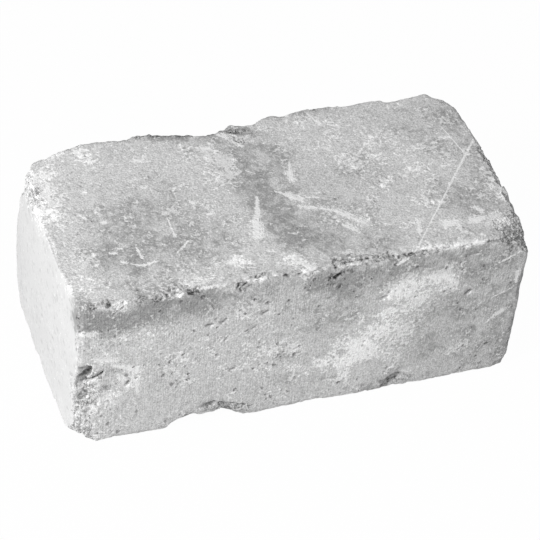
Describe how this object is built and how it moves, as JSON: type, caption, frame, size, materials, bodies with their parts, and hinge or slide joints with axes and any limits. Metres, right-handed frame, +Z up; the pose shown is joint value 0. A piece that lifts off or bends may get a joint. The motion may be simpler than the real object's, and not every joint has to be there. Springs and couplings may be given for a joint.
{
  "type": "retaining wall block",
  "caption": "Solid tumbled concrete block with worn arrises and broken corners, for dry-laid retaining walls and garden edging.",
  "frame": {"origin": "centre of the bounding box at the lower bed", "axes": "+X along the wall, the block's length; +Y from the front face to the back face; +Z up, from the lower bed to the upper bed"},
  "size_m": [0.3, 0.15, 0.12],
  "materials": {
    "concrete": "matt, dry pressed and tumbled concrete with fine pores"
  },
  "bodies": {
    "root": {"wall_block": "concrete"}
  },
  "joints": []
}
